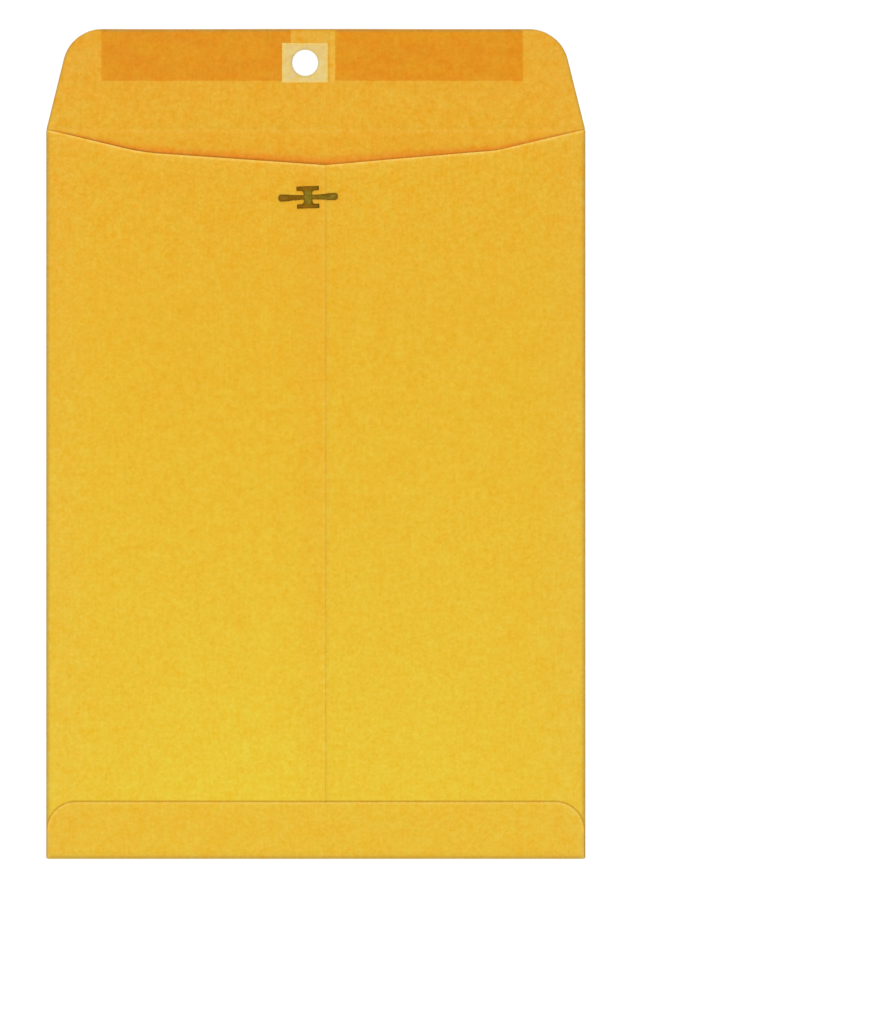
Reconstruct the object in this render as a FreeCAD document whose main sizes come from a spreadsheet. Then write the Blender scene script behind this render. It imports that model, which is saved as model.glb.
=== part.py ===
import FreeCAD, Part
import Sketcher
import math
import os

V = FreeCAD.Vector

# A paper clasp envelope lying on its address side, back side up, with its closing flap open.
# The origin is under the middle of the whole envelope: X across, Y towards the flap, Z up.

doc = FreeCAD.newDocument("clasp_envelope")

# Driving dimensions in millimetres and degrees
SIZES = {
    # Folded body
    "body_width": 215.9,
    "body_length": 292.1,
    "paper_thickness": 0.18,
    "fold_gap": 0.2,
    "throat_gap": 2.6,
    # Closing flap, and the score line that it folds on
    "flap_height": 40.3,
    "flap_side_angle": 14.0,
    "flap_corner_radius": 15.8,
    "score_width": 0.8,
    "score_depth": 0.04,
    # Throat edge of the back panels, in from the side folds and down from the flap fold
    "left_shoulder_inset": 38.6,
    "left_shoulder_drop": 9.3,
    "left_shoulder_radius": 90.0,
    "right_shoulder_inset": 35.4,
    "right_shoulder_drop": 8.5,
    "right_shoulder_radius": 24.0,
    "throat_drop": 14.5,
    # Centre seam, the left panel glued over the right one
    "seam_offset": 3.8,
    "seam_overlap": 23.0,
    "seam_ramp": 3.0,
    # Bottom flap, folded up over both panels
    "bottom_flap_height": 22.8,
    "bottom_flap_corner_radius": 11.5,
    "bottom_flap_inset": 0.5,
    "bottom_glue_depth": 0.6,
    # Hole in the closing flap, and the patch glued round it
    "hole_diameter": 10.6,
    "hole_offset": -4.3,
    "hole_from_fold": 26.8,
    "patch_width": 18.3,
    "patch_height": 15.8,
    "patch_thickness": 0.12,
    # Gum bands along the end of the closing flap
    "gum_thickness": 0.05,
    "gum_height": 20.7,
    "left_gum_length": 75.9,
    "left_gum_end": -10.0,
    "right_gum_length": 75.2,
    "right_gum_start": 7.8,
    # Metal clasp
    "clasp_offset": -3.0,
    "clasp_from_fold": 27.4,
    "clasp_turn": 1.8,
    "clasp_clearance": 0.05,
    "metal_thickness": 0.28,
    "clasp_height": 8.8,
    "bar_length": 8.9,
    "bar_width": 1.7,
    "bend_radius": 0.22,
    "neck_width": 3.4,
    "neck_flare_radius": 1.1,
    "prong_reach": 11.8,
    "prong_root_width": 1.7,
    "prong_strip_width": 2.6,
    "paddle_length": 4.2,
    "paddle_root_width": 2.55,
    "paddle_tip_width": 2.8,
    "paddle_corner_radius": 1.0,
    "paddle_rim_width": 0.5,
    "paddle_rim_height": 0.12,
    "knuckle_clearance": 0.04,
    "leg_clinch": 2.3,
    "slit_clearance": 0.06,
}

sheet = doc.addObject("Spreadsheet::Sheet", "sizes")
for row, (alias, value) in enumerate(SIZES.items(), start=1):
    sheet.set(f"A{row}", alias)
    sheet.set(f"B{row}", str(value))
    sheet.setAlias(f"B{row}", alias)
doc.recompute()

# Expressions over the sheet that several features share
HALF_WIDTH = "sizes.body_width / 2"
TOP_Y = "(sizes.body_length + sizes.flap_height) / 2"
BOTTOM_Y = "-(sizes.body_length + sizes.flap_height) / 2"
FOLD_Y = "(sizes.body_length - sizes.flap_height) / 2"
PAPER = "sizes.paper_thickness"
FOLD_RADIUS = "(sizes.paper_thickness + sizes.fold_gap / 2)"
FLAT_HALF = f"({HALF_WIDTH} - {FOLD_RADIUS})"
ARCH_RISE = "(sizes.throat_gap - sizes.fold_gap)"
ARCH_RADIUS = f"(({FLAT_HALF} * {FLAT_HALF} + {ARCH_RISE} * {ARCH_RISE}) / (2 * {ARCH_RISE}))"
PANEL_EDGE = "(sizes.seam_offset - sizes.seam_overlap)"
RAMP_FOOT = f"({PANEL_EDGE} - sizes.seam_ramp)"
STACK_HEIGHT = f"(2 * {FOLD_RADIUS} + {PAPER})"
HOLE_Y = f"({FOLD_Y} + sizes.hole_from_fold)"
GUM_FOOT = f"({TOP_Y} - sizes.gum_height)"
CLASP_Y = f"({FOLD_Y} - sizes.clasp_from_fold)"
OUTSIDE = 10.0


def number(expression):
    """The value of an expression over the sheet."""
    found = sheet.evalExpression(str(expression))
    return float(getattr(found, "Value", found))


def pin(sketch, index, point, x=None, y=None):
    """Holds one point of a sketch at x and y, each an expression over the sheet."""
    for kind, axis, expression in (("DistanceX", -2, x), ("DistanceY", -1, y)):
        if expression is None:
            continue
        if str(expression) == "0":
            sketch.addConstraint(Sketcher.Constraint("PointOnObject", index, point, axis))
            continue
        rule = Sketcher.Constraint(kind, -1, 1, index, point, number(expression))
        held = sketch.addConstraint(rule)
        sketch.setExpression(f"Constraints[{held}]", str(expression))


def hold_radius(sketch, index, expression):
    """Ties the radius of an arc or circle to the sheet."""
    held = sketch.addConstraint(Sketcher.Constraint("Radius", index, number(expression)))
    sketch.setExpression(f"Constraints[{held}]", str(expression))


def draw_outline(sketch, corners):
    """Draws a closed outline, anticlockwise, through corners of (x, y, radius or None)."""
    places = [V(number(x), number(y), 0) for x, y, _ in corners]
    count = len(corners)
    ends = []
    arcs = {}
    for i, (x, y, radius) in enumerate(corners):
        place = places[i]
        if radius is None:
            ends.append((place, place))
            continue
        inward = (places[i - 1] - place).normalize()
        outward = (places[(i + 1) % count] - place).normalize()
        half = inward.getAngle(outward) / 2
        reach = number(radius) / math.tan(half)
        centre = place + (inward + outward).normalize() * (number(radius) / math.sin(half))
        ends.append((place + inward * reach, place + outward * reach))
        left_turn = inward.cross(outward).z < 0
        begin, finish = ends[i] if left_turn else reversed(ends[i])
        circle = Part.Circle(centre, V(0, 0, 1), number(radius))
        angles = [math.atan2(p.y - centre.y, p.x - centre.x) for p in (begin, finish)]
        arcs[i] = (sketch.addGeometry(Part.ArcOfCircle(circle, *angles)), left_turn)
    lines = []
    for i in range(count):
        lines.append(sketch.addGeometry(Part.LineSegment(ends[i][1], ends[(i + 1) % count][0])))
    for i, (x, y, radius) in enumerate(corners):
        before = lines[i - 1]
        after = lines[i]
        if radius is None:
            sketch.addConstraint(Sketcher.Constraint("Coincident", before, 2, after, 1))
            pin(sketch, after, 1, x, y)
            continue
        arc, left_turn = arcs[i]
        first, last = (1, 2) if left_turn else (2, 1)
        sketch.addConstraint(Sketcher.Constraint("Tangent", before, 2, arc, first))
        sketch.addConstraint(Sketcher.Constraint("Tangent", arc, last, after, 1))
        corner = sketch.addGeometry(Part.Point(places[i]), True)
        pin(sketch, corner, 1, x, y)
        sketch.addConstraint(Sketcher.Constraint("PointOnObject", corner, 1, before))
        sketch.addConstraint(Sketcher.Constraint("PointOnObject", corner, 1, after))
        hold_radius(sketch, arc, radius)


def box_corners(left, bottom, right, top, radius=None):
    """The four corners of a rectangle, anticlockwise."""
    return [(left, bottom, radius), (right, bottom, radius), (right, top, radius), (left, top, radius)]


def free_sketch(name, corners):
    """A sketch on the XY plane that belongs to no body."""
    sketch = doc.addObject("Sketcher::SketchObject", name)
    draw_outline(sketch, corners)
    return sketch


def prism(name, sketch, low, height):
    """A sketch on the XY plane, raised to low and extruded upwards."""
    solid = doc.addObject("Part::Extrusion", name)
    solid.Base = sketch
    solid.DirMode = "Normal"
    solid.Solid = True
    solid.setExpression("LengthFwd", str(height))
    sketch.setExpression("Placement.Base.z", str(low))
    return solid


def box(name, low, spans, placement=None):
    """A box from its low corner and its three lengths, all expressions over the sheet."""
    solid = doc.addObject("Part::Box", name)
    for side, span in zip(("Length", "Width", "Height"), spans):
        solid.setExpression(side, str(span))
    if placement is None:
        for axis, place in zip("xyz", low):
            solid.setExpression(f"Placement.Base.{axis}", str(place))
    else:
        corner = FreeCAD.Placement(V(*(number(place) for place in low)), FreeCAD.Rotation())
        solid.Placement = placement * corner
    return solid


def combine(kind, name, pieces):
    """A boolean of several solids: Part::MultiFuse or Part::MultiCommon."""
    result = doc.addObject(kind, name)
    result.Shapes = pieces
    result.Refine = True
    return result


def cut(name, base, tool):
    """One solid less another."""
    result = doc.addObject("Part::Cut", name)
    result.Base = base
    result.Tool = tool
    result.Refine = False
    return result


# Folded sheet: cross sections of the flattened tube that its panels make

# Each top line is (x, level, kind of edge that follows), level 1 standing one paper higher
OUTER_LINE = [
    (FLAT_HALF, 0, "arch"),
    ("sizes.seam_offset", 0, "line"),
    ("sizes.seam_offset", 1, "arch"),
    (PANEL_EDGE, 1, "line"),
    (RAMP_FOOT, 0, "arch"),
    (f"-{FLAT_HALF}", 0, None),
]
INNER_LINE = [
    (FLAT_HALF, 0, "arch"),
    (PANEL_EDGE, 0, "line"),
    (PANEL_EDGE, 1, "line"),
    (RAMP_FOOT, 0, "arch"),
    (f"-{FLAT_HALF}", 0, None),
]


def tube_section(name, station, line, floor, lift, rounded, risen):
    """A cross section in the plane y = station, lift above the back panels' outer face.

    Its sides are half round where the paper folds, or upright.
    Its top is arched where risen, as at the throat, and flat at the bottom fold."""
    sketch = doc.addObject("Sketcher::SketchObject", name)
    sketch.Placement = FreeCAD.Placement(V(0, 0, 0), FreeCAD.Rotation(V(1, 0, 0), 90))
    sketch.setExpression("Placement.Base.y", station)
    side_height = f"(2 * {FOLD_RADIUS} + {lift})"
    radius = number(ARCH_RADIUS)
    centre_height = number(side_height) + number(ARCH_RISE) - radius

    def top_point(x, level):
        across = number(x)
        if not risen:
            return V(across, number(side_height) + level * number(PAPER), 0)
        reach = radius + level * number(PAPER)
        return V(across, centre_height + math.sqrt(reach * reach - across * across), 0)

    low_right = V(number(FLAT_HALF), number(floor), 0)
    low_left = V(-number(FLAT_HALF), number(floor), 0)
    tops = [top_point(x, level) for x, level, _ in line]
    base = sketch.addGeometry(Part.LineSegment(low_left, low_right))
    pin(sketch, base, 1, f"-{FLAT_HALF}", floor)
    pin(sketch, base, 2, FLAT_HALF, floor)

    def side(low, top, turn):
        if not rounded:
            return sketch.addGeometry(Part.LineSegment(low, top)), 1, 2
        middle = (low + top) * 0.5
        circle = Part.Circle(middle, V(0, 0, 1), (top - low).Length / 2)
        arc = Part.ArcOfCircle(circle, turn - math.pi / 2, turn + math.pi / 2)
        index = sketch.addGeometry(arc)
        pin(sketch, index, 3, x=FLAT_HALF if turn == 0 else f"-{FLAT_HALF}")
        return (index, 1, 2) if turn == 0 else (index, 2, 1)

    right, right_low, right_top = side(low_right, tops[0], 0)
    sketch.addConstraint(Sketcher.Constraint("Coincident", base, 2, right, right_low))
    pin(sketch, right, right_top, FLAT_HALF, side_height)
    previous = (right, right_top)
    hub = None
    for i, (x, level, kind) in enumerate(line[:-1]):
        begin = tops[i]
        finish = tops[i + 1]
        next_x, next_level, _ = line[i + 1]
        last = i == len(line) - 2
        if kind == "arch" and risen:
            reach = radius + level * number(PAPER)
            centre = V(0, centre_height, 0)
            circle = Part.Circle(centre, V(0, 0, 1), reach)
            angles = [math.atan2(p.y - centre.y, p.x) for p in (begin, finish)]
            index = sketch.addGeometry(Part.ArcOfCircle(circle, *angles))
            if hub is None:
                hub = index
                sketch.addConstraint(Sketcher.Constraint("PointOnObject", index, 3, -2))
            else:
                sketch.addConstraint(Sketcher.Constraint("Coincident", index, 3, hub, 3))
            hold_radius(sketch, index, f"{ARCH_RADIUS} + {level} * {PAPER}")
            pin(sketch, index, 2, x=next_x)
        else:
            index = sketch.addGeometry(Part.LineSegment(begin, finish))
            height = None if risen else f"{side_height} + {next_level} * {PAPER}"
            pin(sketch, index, 2, next_x, height)
            if risen and not last and line[i + 1][2] == "line":
                step = Sketcher.Constraint("DistanceY", index, 1, index, 2, number(PAPER))
                held = sketch.addConstraint(step)
                sketch.setExpression(f"Constraints[{held}]", PAPER)
        sketch.addConstraint(Sketcher.Constraint("Coincident", previous[0], previous[1], index, 1))
        previous = (index, 2)
        if last:
            left, left_low, left_top = side(low_left, finish, math.pi)
            sketch.addConstraint(Sketcher.Constraint("Coincident", index, 2, left, left_top))
            sketch.addConstraint(Sketcher.Constraint("Coincident", left, left_low, base, 1))
    return sketch


def tube(name, line, floor, lift, rounded):
    """The solid between a flat section at the bottom fold and an arched one at the flap fold."""
    ends = [
        tube_section(f"{name}_bottom", BOTTOM_Y, line, floor, lift, rounded, False),
        tube_section(f"{name}_throat", FOLD_Y, line, floor, lift, rounded, True),
    ]
    solid = doc.addObject("Part::Loft", name)
    solid.Sections = ends
    solid.Solid = True
    solid.Ruled = True
    return solid


sleeve = tube("sleeve", OUTER_LINE, "0", "0 * sizes.paper_thickness", True)
bottom_stack = tube("bottom_stack", OUTER_LINE, "0", PAPER, False)
hollow = tube("hollow", INNER_LINE, PAPER, f"-{PAPER}", True)
hollow_end = box(
    "hollow_end",
    (f"-{HALF_WIDTH}", f"{BOTTOM_Y} - {OUTSIDE}", f"-{OUTSIDE}"),
    ("sizes.body_width", f"sizes.bottom_glue_depth + {OUTSIDE}", 2 * OUTSIDE),
)
pocket = cut("pocket", hollow, hollow_end)

# Folded sheet: bottom flap, which lies on the panels all over
bottom_flap_outline = free_sketch("bottom_flap_outline", [
    (f"-{HALF_WIDTH} + sizes.bottom_flap_inset", BOTTOM_Y, None),
    (f"{HALF_WIDTH} - sizes.bottom_flap_inset", BOTTOM_Y, None),
    (
        f"{HALF_WIDTH} - sizes.bottom_flap_inset",
        f"{BOTTOM_Y} + sizes.bottom_flap_height",
        "sizes.bottom_flap_corner_radius",
    ),
    (
        f"-{HALF_WIDTH} + sizes.bottom_flap_inset",
        f"{BOTTOM_Y} + sizes.bottom_flap_height",
        "sizes.bottom_flap_corner_radius",
    ),
])
bottom_flap_prism = prism("bottom_flap_prism", bottom_flap_outline, "0", OUTSIDE)
bottom_flap = combine("Part::MultiCommon", "bottom_flap", [bottom_stack, bottom_flap_prism])

# Folded sheet: closing flap, its sides drawn in towards its end
FLAP_END_HALF = f"({HALF_WIDTH} - sizes.flap_height * tan(sizes.flap_side_angle))"
closing_flap_outline = free_sketch("closing_flap_outline", [
    (f"-{HALF_WIDTH}", FOLD_Y, None),
    (HALF_WIDTH, FOLD_Y, None),
    (FLAP_END_HALF, TOP_Y, "sizes.flap_corner_radius"),
    (f"-{FLAP_END_HALF}", TOP_Y, "sizes.flap_corner_radius"),
])
closing_flap = prism("closing_flap", closing_flap_outline, "0", PAPER)
blank = combine("Part::MultiFuse", "blank", [sleeve, bottom_flap, closing_flap])

# Folded sheet: the throat, open from the flap fold down to the back panels' shaped edge
throat_outline = free_sketch("throat_outline", [
    (f"-{HALF_WIDTH}", FOLD_Y, None),
    (
        f"-{HALF_WIDTH} + sizes.left_shoulder_inset",
        f"{FOLD_Y} - sizes.left_shoulder_drop",
        "sizes.left_shoulder_radius",
    ),
    ("sizes.seam_offset", f"{FOLD_Y} - sizes.throat_drop", None),
    (
        f"{HALF_WIDTH} - sizes.right_shoulder_inset",
        f"{FOLD_Y} - sizes.right_shoulder_drop",
        "sizes.right_shoulder_radius",
    ),
    (HALF_WIDTH, FOLD_Y, None),
    (HALF_WIDTH, f"{FOLD_Y} + {OUTSIDE}", None),
    (f"-{HALF_WIDTH}", f"{FOLD_Y} + {OUTSIDE}", None),
])
throat = prism("throat", throat_outline, PAPER, OUTSIDE)

# Folded sheet: the rounded nose that the paper makes at the bottom fold
NOSE_RADIUS = f"({STACK_HEIGHT} / 2)"
nose_block = box(
    "nose_block",
    (f"-{HALF_WIDTH} - {OUTSIDE}", f"{BOTTOM_Y} - {OUTSIDE}", f"-{OUTSIDE}"),
    (f"sizes.body_width + 2 * {OUTSIDE}", f"{NOSE_RADIUS} + {OUTSIDE}", 2 * OUTSIDE),
)
nose_bar = doc.addObject("Part::Cylinder", "nose_bar")
nose_bar.setExpression("Radius", NOSE_RADIUS)
nose_bar.setExpression("Height", f"sizes.body_width + 2 * {OUTSIDE}")
nose_bar.Placement = FreeCAD.Placement(V(0, 0, 0), FreeCAD.Rotation(V(0, 1, 0), 90))
nose_bar.setExpression("Placement.Base.x", f"-{HALF_WIDTH} - {OUTSIDE}")
nose_bar.setExpression("Placement.Base.y", f"{BOTTOM_Y} + {NOSE_RADIUS}")
nose_bar.setExpression("Placement.Base.z", NOSE_RADIUS)
nose = cut("nose", nose_block, nose_bar)

# Folded sheet: score line of the closing flap, and the hole punched through it
score = box(
    "score",
    (f"-{HALF_WIDTH}", f"{FOLD_Y} - sizes.score_width / 2", f"{PAPER} - sizes.score_depth"),
    ("sizes.body_width", "sizes.score_width", "sizes.score_depth"),
)
hole = doc.addObject("Part::Cylinder", "hole")
hole.setExpression("Radius", "sizes.hole_diameter / 2")
hole.setExpression("Height", str(2 * OUTSIDE))
hole.setExpression("Placement.Base.x", "sizes.hole_offset")
hole.setExpression("Placement.Base.y", HOLE_Y)
hole.setExpression("Placement.Base.z", str(-OUTSIDE))

# The clasp's own frame lies on the back panels: X along its prongs, Z off the paper
CLASP_RUN = f"(({CLASP_Y} - ({BOTTOM_Y})) / sizes.body_length)"
CLASP_RISE = f"({ARCH_RISE} * (1 - (sizes.clasp_offset / {FLAT_HALF})^2))"
seat_point = V(
    number("sizes.clasp_offset"),
    number(CLASP_Y),
    number(f"{STACK_HEIGHT} + {CLASP_RUN} * {CLASP_RISE}"),
)
seat_pitch = math.degrees(math.atan(number(f"{CLASP_RISE} / sizes.body_length")))
seat_turn = FreeCAD.Rotation(V(0, 0, 1), number("sizes.clasp_turn"))
SEAT = FreeCAD.Placement(seat_point, FreeCAD.Rotation(V(1, 0, 0), seat_pitch) * seat_turn)

# Folded sheet: four slits through both panels for the clasp's legs
BAR_Y = "(sizes.clasp_height / 2 - sizes.bar_width / 2)"
LEG_OUT = "(sizes.bar_length / 2)"
SLIT_LENGTH = "(sizes.bar_width + 2 * sizes.slit_clearance)"
SLIT_SPAN = "(sizes.metal_thickness + 2 * sizes.slit_clearance)"
SLIT_DEPTH = f"(4 * {PAPER})"
slits = []
for side, across in (("left", f"-{LEG_OUT} - sizes.slit_clearance"),
                     ("right", f"{LEG_OUT} - sizes.metal_thickness - sizes.slit_clearance")):
    for end, middle in (("lower", f"-{BAR_Y}"), ("upper", BAR_Y)):
        low = (across, f"{middle} - {SLIT_LENGTH} / 2", f"-{SLIT_DEPTH}")
        spans = (SLIT_SPAN, SLIT_LENGTH, f"2 * {SLIT_DEPTH}")
        slits.append(box(f"slit_{side}_{end}", low, spans, SEAT))

folded_sheet = cut("hollowed", blank, pocket)
for tool in (nose, score, hole, throat, *slits):
    folded_sheet = cut(f"less_{tool.Name}", folded_sheet, tool)


# Bodies built on the XY plane of their own frame

def new_body(name, placement=None):
    """A body, placed in the envelope's frame."""
    body = doc.addObject("PartDesign::Body", name)
    if placement is not None:
        body.Placement = placement
    return body


def body_sketch(body, name, low):
    """A sketch on the body's XY plane, raised to low."""
    sketch = body.newObject("Sketcher::SketchObject", name)
    plane = next(f for f in body.Origin.OriginFeatures if f.Role == "XY_Plane")
    sketch.AttachmentSupport = [(plane, "")]
    sketch.MapMode = "FlatFace"
    sketch.setExpression("AttachmentOffset.Base.z", str(low))
    return sketch


def profile(body, name, outlines, low):
    """A sketch of closed outlines on the body's XY plane, each a list of corners."""
    sketch = body_sketch(body, f"{name}_sketch", low)
    for outline in outlines:
        draw_outline(sketch, outline)
    return sketch


def pad(body, name, outlines, low, height):
    """Closed outlines on the body's XY plane, padded upwards from low."""
    sketch = profile(body, name, outlines, low)
    feature = body.newObject("PartDesign::Pad", name)
    feature.Profile = sketch
    feature.setExpression("Length", str(height))
    return feature


def pocket_up(body, name, outlines, low, height):
    """Closed outlines on the body's XY plane, cut upwards from low."""
    sketch = profile(body, name, outlines, low)
    feature = body.newObject("PartDesign::Pocket", name)
    feature.Profile = sketch
    feature.Reversed = True
    feature.setExpression("Length", str(height))
    return feature


# Gum bands, level with the flap's end
LEFT_GUM_START = "(sizes.left_gum_end - sizes.left_gum_length)"
RIGHT_GUM_END = "(sizes.right_gum_start + sizes.right_gum_length)"
left_band = box_corners(LEFT_GUM_START, GUM_FOOT, "sizes.left_gum_end", TOP_Y)
right_band = box_corners("sizes.right_gum_start", GUM_FOOT, RIGHT_GUM_END, TOP_Y)
gum_strip_left = new_body("gum_strip_left")
pad(gum_strip_left, "left_gum_band", [left_band], PAPER, "sizes.gum_thickness")
gum_strip_right = new_body("gum_strip_right")
pad(gum_strip_right, "right_gum_band", [right_band], PAPER, "sizes.gum_thickness")

# Hole patch, which laps over the end of the left gum band
PATCH_LEFT = "(sizes.hole_offset - sizes.patch_width / 2)"
PATCH_RIGHT = "(sizes.hole_offset + sizes.patch_width / 2)"
PATCH_FOOT = f"({HOLE_Y} - sizes.patch_height / 2)"
PATCH_TOP = f"({HOLE_Y} + sizes.patch_height / 2)"
hole_patch = new_body("hole_patch")
patch_pad = pad(
    hole_patch, "patch_paper",
    [box_corners(PATCH_LEFT, PATCH_FOOT, PATCH_RIGHT, PATCH_TOP)],
    PAPER, "sizes.gum_thickness + sizes.patch_thickness",
)
gum_room = box_corners(
    f"{PATCH_LEFT} - {OUTSIDE}", GUM_FOOT, "sizes.left_gum_end", f"{PATCH_TOP} + {OUTSIDE}",
)
pocket_up(hole_patch, "lap_over_gum", [gum_room], PAPER, "sizes.gum_thickness")
patch_hole_sketch = body_sketch(hole_patch, "patch_hole_sketch", PAPER)
hole_centre = V(number("sizes.hole_offset"), number(HOLE_Y), 0)
patch_circle = Part.Circle(hole_centre, V(0, 0, 1), number("sizes.hole_diameter / 2"))
patch_circle_index = patch_hole_sketch.addGeometry(patch_circle)
pin(patch_hole_sketch, patch_circle_index, 3, "sizes.hole_offset", HOLE_Y)
hold_radius(patch_hole_sketch, patch_circle_index, "sizes.hole_diameter / 2")
patch_hole = hole_patch.newObject("PartDesign::Pocket", "patch_hole")
patch_hole.Profile = patch_hole_sketch
patch_hole.Type = "ThroughAll"
patch_hole.Midplane = True

# Clasp base: two bars joined by a flared neck, notched where the prongs' knuckles turn
PLATE_LOW = "sizes.clasp_clearance"
METAL = "sizes.metal_thickness"
PLATE_TOP = f"({PLATE_LOW} + {METAL})"
BAR_FOOT = "(sizes.clasp_height / 2 - sizes.bar_width)"
BAR_TOP = "(sizes.clasp_height / 2)"
NECK_HALF = "(sizes.neck_width / 2)"
NOTCH_HALF = "(sizes.prong_root_width / 2 + sizes.knuckle_clearance)"
NOTCH_DEPTH = f"({METAL} / 2 + sizes.knuckle_clearance)"
right_side = [
    (LEG_OUT, f"-{BAR_TOP}", None),
    (LEG_OUT, f"-{BAR_FOOT}", None),
    (NECK_HALF, f"-{BAR_FOOT}", "sizes.neck_flare_radius"),
    (NECK_HALF, f"-{NOTCH_HALF}", None),
    (f"{NECK_HALF} - {NOTCH_DEPTH}", f"-{NOTCH_HALF}", None),
    (f"{NECK_HALF} - {NOTCH_DEPTH}", NOTCH_HALF, None),
    (NECK_HALF, NOTCH_HALF, None),
    (NECK_HALF, BAR_FOOT, "sizes.neck_flare_radius"),
    (LEG_OUT, BAR_FOOT, None),
    (LEG_OUT, BAR_TOP, None),
]
left_side = [(f"-({x})", y, radius) for x, y, radius in reversed(right_side)]
clasp_base = new_body("clasp_base", SEAT)
pad(clasp_base, "clasp_plate", [right_side + left_side], PLATE_LOW, METAL)

# Clasp base: legs down through the slits, clinched towards each other under the panels
CLINCH_LOW = f"(-2 * {PAPER} - sizes.clasp_clearance - {METAL})"
leg_outlines = []
clinch_outlines = []
for foot, top in ((f"-{BAR_TOP}", f"-{BAR_FOOT}"), (BAR_FOOT, BAR_TOP)):
    leg_outlines.append(box_corners(f"-{LEG_OUT}", foot, f"-{LEG_OUT} + {METAL}", top))
    leg_outlines.append(box_corners(f"{LEG_OUT} - {METAL}", foot, LEG_OUT, top))
    clinch_outlines.append(box_corners(f"-{LEG_OUT}", foot, f"-{LEG_OUT} + sizes.leg_clinch", top))
    clinch_outlines.append(box_corners(f"{LEG_OUT} - sizes.leg_clinch", foot, LEG_OUT, top))
pad(clasp_base, "clasp_legs", leg_outlines, CLINCH_LOW, f"{PLATE_LOW} + {METAL} - {CLINCH_LOW}")
clinches = pad(clasp_base, "clasp_clinches", clinch_outlines, CLINCH_LOW, METAL)
doc.recompute()


def bend_edges(shape):
    """The names of the outer edges where the legs turn down and where they are clinched."""
    names = []
    for i, edge in enumerate(shape.Edges, start=1):
        box_of = edge.BoundBox
        outside = abs(abs(box_of.Center.x) - number(LEG_OUT)) < 1e-6 and box_of.XLength < 1e-6
        level = min(abs(box_of.Center.z - number(z)) for z in (PLATE_TOP, CLINCH_LOW)) < 1e-6
        if outside and level and box_of.ZLength < 1e-6:
            names.append(f"Edge{i}")
    return names


bends = clasp_base.newObject("PartDesign::Fillet", "clasp_bends")
bends.Base = (clinches, bend_edges(clinches.Shape))
bends.setExpression("Radius", "sizes.bend_radius")

# Prongs: narrow strips that end in a rimmed paddle, each turning on a round knuckle at the neck
KNUCKLE_HEIGHT = f"({PLATE_LOW} + {METAL} / 2)"
ROOT_HALF = "(sizes.prong_root_width / 2)"
STRIP_HALF = "(sizes.prong_strip_width / 2)"
PADDLE_START = "(sizes.prong_reach - sizes.paddle_length)"
PADDLE_HALF = "(sizes.paddle_root_width / 2)"
TIP_HALF = "(sizes.paddle_tip_width / 2)"
RIM = "sizes.paddle_rim_width"
RIM_HEIGHT = "sizes.paddle_rim_height"
CORNER = "sizes.paddle_corner_radius"
strip = [
    (NECK_HALF, f"-{ROOT_HALF}", None),
    (f"sizes.prong_reach - {CORNER}", f"-{STRIP_HALF}", None),
    (f"sizes.prong_reach - {CORNER}", STRIP_HALF, None),
    (NECK_HALF, ROOT_HALF, None),
]
paddle = [
    (PADDLE_START, f"-{PADDLE_HALF}", None),
    ("sizes.prong_reach", f"-{TIP_HALF}", CORNER),
    ("sizes.prong_reach", TIP_HALF, CORNER),
    (PADDLE_START, PADDLE_HALF, None),
]
paddle_hollow = [
    (f"{PADDLE_START} + {RIM}", f"-({PADDLE_HALF} - {RIM})", None),
    (f"sizes.prong_reach - {RIM}", f"-({TIP_HALF} - {RIM})", f"{CORNER} - {RIM}"),
    (f"sizes.prong_reach - {RIM}", f"{TIP_HALF} - {RIM}", f"{CORNER} - {RIM}"),
    (f"{PADDLE_START} + {RIM}", f"{PADDLE_HALF} - {RIM}", None),
]


def prong(name, turned):
    """One prong. The left one is the right one turned about Z."""
    turn = FreeCAD.Rotation(V(0, 0, 1), 180 if turned else 0)
    body = new_body(name, SEAT * FreeCAD.Placement(V(0, 0, 0), turn))
    pad(body, f"{name}_strip", [strip], PLATE_LOW, METAL)
    pad(body, f"{name}_paddle", [paddle], PLATE_LOW, f"{METAL} + {RIM_HEIGHT}")
    pocket_up(body, f"{name}_hollow", [paddle_hollow], PLATE_TOP, RIM_HEIGHT)
    knuckle_sketch = body.newObject("Sketcher::SketchObject", f"{name}_knuckle_sketch")
    plane = next(f for f in body.Origin.OriginFeatures if f.Role == "XZ_Plane")
    knuckle_sketch.AttachmentSupport = [(plane, "")]
    knuckle_sketch.MapMode = "FlatFace"
    radius = number(f"{METAL} / 2")
    centre = V(number(NECK_HALF), number(KNUCKLE_HEIGHT), 0)
    circle = Part.Circle(centre, V(0, 0, 1), radius)
    round_end = knuckle_sketch.addGeometry(Part.ArcOfCircle(circle, math.pi / 2, 3 * math.pi / 2))
    low = centre - V(0, radius, 0)
    top = centre + V(0, radius, 0)
    flat_end = knuckle_sketch.addGeometry(Part.LineSegment(low, top))
    knuckle_sketch.addConstraint(Sketcher.Constraint("Coincident", round_end, 2, flat_end, 1))
    knuckle_sketch.addConstraint(Sketcher.Constraint("Coincident", flat_end, 2, round_end, 1))
    knuckle_sketch.addConstraint(Sketcher.Constraint("Vertical", flat_end))
    knuckle_sketch.addConstraint(Sketcher.Constraint("PointOnObject", round_end, 3, flat_end))
    pin(knuckle_sketch, round_end, 3, NECK_HALF, KNUCKLE_HEIGHT)
    hold_radius(knuckle_sketch, round_end, f"{METAL} / 2")
    knuckle = body.newObject("PartDesign::Pad", f"{name}_knuckle")
    knuckle.Profile = knuckle_sketch
    knuckle.Midplane = True
    knuckle.setExpression("Length", "sizes.prong_root_width")
    return body


prong_left = prong("prong_left", True)
prong_right = prong("prong_right", False)

doc.recompute()

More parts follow.
